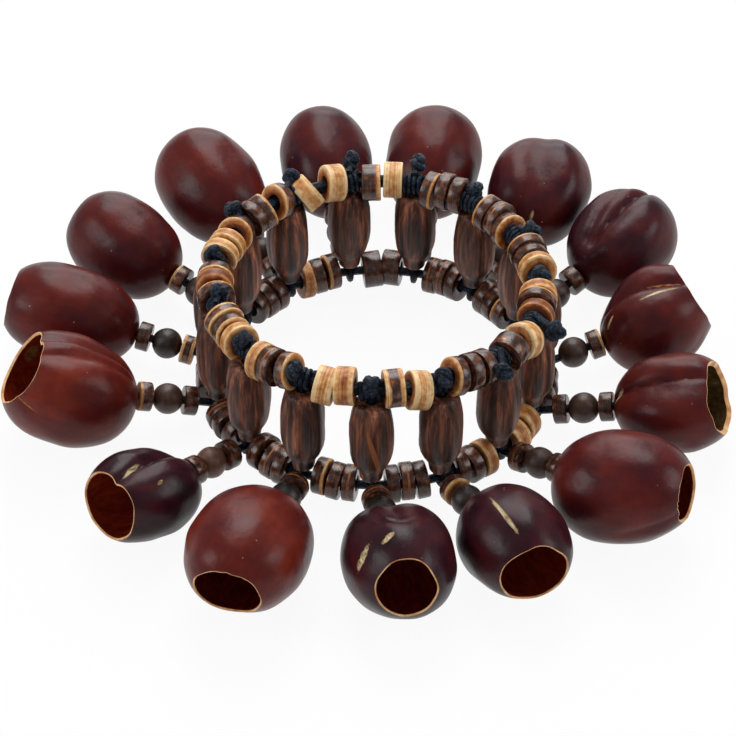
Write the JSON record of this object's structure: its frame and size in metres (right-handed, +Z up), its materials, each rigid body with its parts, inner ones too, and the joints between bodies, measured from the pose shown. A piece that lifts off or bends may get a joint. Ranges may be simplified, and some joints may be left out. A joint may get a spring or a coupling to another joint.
{
  "type": "bracelet shaker",
  "caption": "Bracelet shaker: hollow seed shells hang on beaded drops round a ring of wooden discs and carved columns, and swing and knock together when shaken.",
  "frame": {"origin": "middle of the outline seen from above, on the ground the bracelet lies on", "axes": "+Z up through the wrist opening, -Y towards the picture's viewer, +X to the picture's right"},
  "size_m": [0.1636, 0.1644, 0.0365],
  "materials": {
    "seed_shell": "satin",
    "bead_wood": "satin",
    "palm_wood": "satin",
    "dark_discs": "polished",
    "pale_wood": "satin"
  },
  "bodies": {
    "rings": {"upper_string": "dark_discs", "lower_string": "dark_discs", "pale_disc_01": "pale_wood", "pale_disc_02": "pale_wood", "pale_disc_03": "pale_wood", "pale_disc_04": "pale_wood", "pale_disc_05": "pale_wood", "pale_disc_06": "pale_wood", "pale_disc_07": "pale_wood", "pale_disc_08": "pale_wood", "pale_disc_09": "pale_wood", "pale_disc_10": "pale_wood", "pale_disc_11": "pale_wood", "pale_disc_12": "pale_wood", "pale_disc_13": "pale_wood"},
    "column_01": {"column_01": "palm_wood"},
    "column_02": {"column_02": "palm_wood"},
    "column_03": {"column_03": "palm_wood"},
    "column_04": {"column_04": "palm_wood"},
    "column_05": {"column_05": "palm_wood"},
    "column_06": {"column_06": "palm_wood"},
    "column_07": {"column_07": "palm_wood"},
    "column_08": {"column_08": "palm_wood"},
    "column_09": {"column_09": "palm_wood"},
    "column_10": {"column_10": "palm_wood"},
    "column_11": {"column_11": "palm_wood"},
    "column_12": {"column_12": "palm_wood"},
    "column_13": {"column_13": "palm_wood"},
    "column_14": {"column_14": "palm_wood"},
    "column_15": {"column_15": "palm_wood"},
    "drop_01": {"drop_01": "bead_wood"},
    "drop_02": {"drop_02": "bead_wood"},
    "drop_03": {"drop_03": "bead_wood"},
    "drop_04": {"drop_04": "bead_wood"},
    "drop_05": {"drop_05": "bead_wood"},
    "drop_06": {"drop_06": "bead_wood"},
    "drop_07": {"drop_07": "bead_wood"},
    "drop_08": {"drop_08": "bead_wood"},
    "drop_09": {"drop_09": "bead_wood"},
    "drop_10": {"drop_10": "bead_wood"},
    "drop_11": {"drop_11": "bead_wood"},
    "drop_12": {"drop_12": "bead_wood"},
    "drop_13": {"drop_13": "bead_wood"},
    "drop_14": {"drop_14": "bead_wood"},
    "drop_15": {"drop_15": "bead_wood"},
    "shell_01": {"shell_01": "seed_shell"},
    "shell_02": {"shell_02": "seed_shell"},
    "shell_03": {"shell_03": "seed_shell"},
    "shell_04": {"shell_04": "seed_shell"},
    "shell_05": {"shell_05": "seed_shell"},
    "shell_06": {"shell_06": "seed_shell"},
    "shell_07": {"shell_07": "seed_shell"},
    "shell_08": {"shell_08": "seed_shell"},
    "shell_09": {"shell_09": "seed_shell"},
    "shell_10": {"shell_10": "seed_shell"},
    "shell_11": {"shell_11": "seed_shell"},
    "shell_12": {"shell_12": "seed_shell"},
    "shell_13": {"shell_13": "seed_shell"},
    "shell_14": {"shell_14": "seed_shell"},
    "shell_15": {"shell_15": "seed_shell"}
  },
  "joints": [
    {"name": "column_01_spin", "type": "hinge", "parent": "rings", "child": "column_01", "pos_m": [-0.02761, 0.0202, 0.00657], "axis": [0, 0, 1], "continuous": true},
    {"name": "drop_01_swing", "type": "hinge", "parent": "rings", "child": "drop_01", "pos_m": [-0.02761, 0.0202, 0.00397], "axis": [0.5299, 0.848, 0], "range_deg": [-45, 15]},
    {"name": "shell_01_spin", "type": "hinge", "parent": "drop_01", "child": "shell_01", "pos_m": [-0.02761, 0.0202, 0.00397], "axis": [-0.8271, 0.5168, 0.2208], "continuous": true},
    {"name": "column_02_spin", "type": "hinge", "parent": "rings", "child": "column_02", "pos_m": [-0.03284, 0.00582, 0.00657], "axis": [0, 0, 1], "continuous": true},
    {"name": "drop_02_swing", "type": "hinge", "parent": "rings", "child": "drop_02", "pos_m": [-0.03284, 0.00582, 0.00397], "axis": [0.2079, 0.9781, 0], "range_deg": [-45, 15]},
    {"name": "shell_02_spin", "type": "hinge", "parent": "drop_02", "child": "shell_02", "pos_m": [-0.03284, 0.00582, 0.00397], "axis": [-0.9578, 0.2036, 0.203], "continuous": true},
    {"name": "column_03_spin", "type": "hinge", "parent": "rings", "child": "column_03", "pos_m": [-0.03177, -0.00944, 0.00657], "axis": [0, 0, 1], "continuous": true},
    {"name": "drop_03_swing", "type": "hinge", "parent": "rings", "child": "drop_03", "pos_m": [-0.03177, -0.00944, 0.00397], "axis": [-0.165, 0.9863, 0], "range_deg": [-45, 15]},
    {"name": "shell_03_spin", "type": "hinge", "parent": "drop_03", "child": "shell_03", "pos_m": [-0.03177, -0.00944, 0.00397], "axis": [-0.9521, -0.1593, 0.2611], "continuous": true},
    {"name": "column_04_spin", "type": "hinge", "parent": "rings", "child": "column_04", "pos_m": [-0.02459, -0.02295, 0.00657], "axis": [0, 0, 1], "continuous": true},
    {"name": "drop_04_swing", "type": "hinge", "parent": "rings", "child": "drop_04", "pos_m": [-0.02459, -0.02295, 0.00397], "axis": [-0.7157, 0.6984, 0], "range_deg": [-45, 15]},
    {"name": "shell_04_spin", "type": "hinge", "parent": "drop_04", "child": "shell_04", "pos_m": [-0.02459, -0.02295, 0.00397], "axis": [-0.6852, -0.7021, 0.1937], "continuous": true},
    {"name": "column_05_spin", "type": "hinge", "parent": "rings", "child": "column_05", "pos_m": [-0.01253, -0.03238, 0.00657], "axis": [0, 0, 1], "continuous": true},
    {"name": "drop_05_swing", "type": "hinge", "parent": "rings", "child": "drop_05", "pos_m": [-0.01253, -0.03238, 0.00397], "axis": [-0.9478, 0.319, 0], "range_deg": [-45, 15]},
    {"name": "shell_05_spin", "type": "hinge", "parent": "drop_05", "child": "shell_05", "pos_m": [-0.01253, -0.03238, 0.00397], "axis": [-0.3082, -0.9159, 0.2572], "continuous": true},
    {"name": "column_06_spin", "type": "hinge", "parent": "rings", "child": "column_06", "pos_m": [0.00232, -0.03608, 0.00657], "axis": [0, 0, 1], "continuous": true},
    {"name": "drop_06_swing", "type": "hinge", "parent": "rings", "child": "drop_06", "pos_m": [0.00232, -0.03608, 0.00397], "axis": [-0.9829, -0.184, 0], "range_deg": [-45, 15]},
    {"name": "shell_06_spin", "type": "hinge", "parent": "drop_06", "child": "shell_06", "pos_m": [0.00232, -0.03608, 0.00397], "axis": [0.1783, -0.9529, 0.2455], "continuous": true},
    {"name": "column_07_spin", "type": "hinge", "parent": "rings", "child": "column_07", "pos_m": [0.01739, -0.03342, 0.00657], "axis": [0, 0, 1], "continuous": true},
    {"name": "drop_07_swing", "type": "hinge", "parent": "rings", "child": "drop_07", "pos_m": [0.01739, -0.03342, 0.00397], "axis": [-0.8796, -0.4756, 0], "range_deg": [-45, 15]},
    {"name": "shell_07_spin", "type": "hinge", "parent": "drop_07", "child": "shell_07", "pos_m": [0.01739, -0.03342, 0.00397], "axis": [0.463, -0.8563, 0.2289], "continuous": true},
    {"name": "column_08_spin", "type": "hinge", "parent": "rings", "child": "column_08", "pos_m": [0.03007, -0.02486, 0.00657], "axis": [0, 0, 1], "continuous": true},
    {"name": "drop_08_swing", "type": "hinge", "parent": "rings", "child": "drop_08", "pos_m": [0.03007, -0.02486, 0.00397], "axis": [-0.6225, -0.7826, 0], "range_deg": [-45, 15]},
    {"name": "shell_08_spin", "type": "hinge", "parent": "drop_08", "child": "shell_08", "pos_m": [0.03007, -0.02486, 0.00397], "axis": [0.7585, -0.6033, 0.2465], "continuous": true},
    {"name": "column_09_spin", "type": "hinge", "parent": "rings", "child": "column_09", "pos_m": [0.03818, -0.01189, 0.00657], "axis": [0, 0, 1], "continuous": true},
    {"name": "drop_09_swing", "type": "hinge", "parent": "rings", "child": "drop_09", "pos_m": [0.03818, -0.01189, 0.00397], "axis": [-0.165, -0.9863, 0], "range_deg": [-45, 15]},
    {"name": "shell_09_spin", "type": "hinge", "parent": "drop_09", "child": "shell_09", "pos_m": [0.03818, -0.01189, 0.00397], "axis": [0.9635, -0.1612, 0.2138], "continuous": true},
    {"name": "column_10_spin", "type": "hinge", "parent": "rings", "child": "column_10", "pos_m": [0.04031, 0.00327, 0.00657], "axis": [0, 0, 1], "continuous": true},
    {"name": "drop_10_swing", "type": "hinge", "parent": "rings", "child": "drop_10", "pos_m": [0.04031, 0.00327, 0.00397], "axis": [0.2656, -0.9641, 0], "range_deg": [-45, 15]},
    {"name": "shell_10_spin", "type": "hinge", "parent": "drop_10", "child": "shell_10", "pos_m": [0.04031, 0.00327, 0.00397], "axis": [0.9354, 0.2577, 0.242], "continuous": true},
    {"name": "column_11_spin", "type": "hinge", "parent": "rings", "child": "column_11", "pos_m": [0.03609, 0.01798, 0.00657], "axis": [0, 0, 1], "continuous": true},
    {"name": "drop_11_swing", "type": "hinge", "parent": "rings", "child": "drop_11", "pos_m": [0.03609, 0.01798, 0.00397], "axis": [0.6266, -0.7793, 0], "range_deg": [-45, 15]},
    {"name": "shell_11_spin", "type": "hinge", "parent": "drop_11", "child": "shell_11", "pos_m": [0.03609, 0.01798, 0.00397], "axis": [0.7565, 0.6082, 0.2404], "continuous": true},
    {"name": "column_12_spin", "type": "hinge", "parent": "rings", "child": "column_12", "pos_m": [0.02626, 0.0297, 0.00657], "axis": [0, 0, 1], "continuous": true},
    {"name": "drop_12_swing", "type": "hinge", "parent": "rings", "child": "drop_12", "pos_m": [0.02626, 0.0297, 0.00397], "axis": [0.8607, -0.509, 0], "range_deg": [-45, 15]},
    {"name": "shell_12_spin", "type": "hinge", "parent": "drop_12", "child": "shell_12", "pos_m": [0.02626, 0.0297, 0.00397], "axis": [0.494, 0.8354, 0.241], "continuous": true},
    {"name": "column_13_spin", "type": "hinge", "parent": "rings", "child": "column_13", "pos_m": [0.0125, 0.03641, 0.00657], "axis": [0, 0, 1], "continuous": true},
    {"name": "drop_13_swing", "type": "hinge", "parent": "rings", "child": "drop_13", "pos_m": [0.0125, 0.03641, 0.00397], "axis": [0.989, -0.1478, 0], "range_deg": [-45, 15]},
    {"name": "shell_13_spin", "type": "hinge", "parent": "drop_13", "child": "shell_13", "pos_m": [0.0125, 0.03641, 0.00397], "axis": [0.1439, 0.9626, 0.2296], "continuous": true},
    {"name": "column_14_spin", "type": "hinge", "parent": "rings", "child": "column_14", "pos_m": [-0.00279, 0.03694, 0.00657], "axis": [0, 0, 1], "continuous": true},
    {"name": "drop_14_swing", "type": "hinge", "parent": "rings", "child": "drop_14", "pos_m": [-0.00279, 0.03694, 0.00397], "axis": [0.9848, 0.1736, 0], "range_deg": [-45, 15]},
    {"name": "shell_14_spin", "type": "hinge", "parent": "drop_14", "child": "shell_14", "pos_m": [-0.00279, 0.03694, 0.00397], "axis": [-0.1694, 0.9606, 0.2204], "continuous": true},
    {"name": "column_15_spin", "type": "hinge", "parent": "rings", "child": "column_15", "pos_m": [-0.01698, 0.03121, 0.00657], "axis": [0, 0, 1], "continuous": true},
    {"name": "drop_15_swing", "type": "hinge", "parent": "rings", "child": "drop_15", "pos_m": [-0.01698, 0.03121, 0.00397], "axis": [0.829, 0.5592, 0], "range_deg": [-45, 15]},
    {"name": "shell_15_spin", "type": "hinge", "parent": "drop_15", "child": "shell_15", "pos_m": [-0.01698, 0.03121, 0.00397], "axis": [-0.5449, 0.8078, 0.2249], "continuous": true}
  ]
}
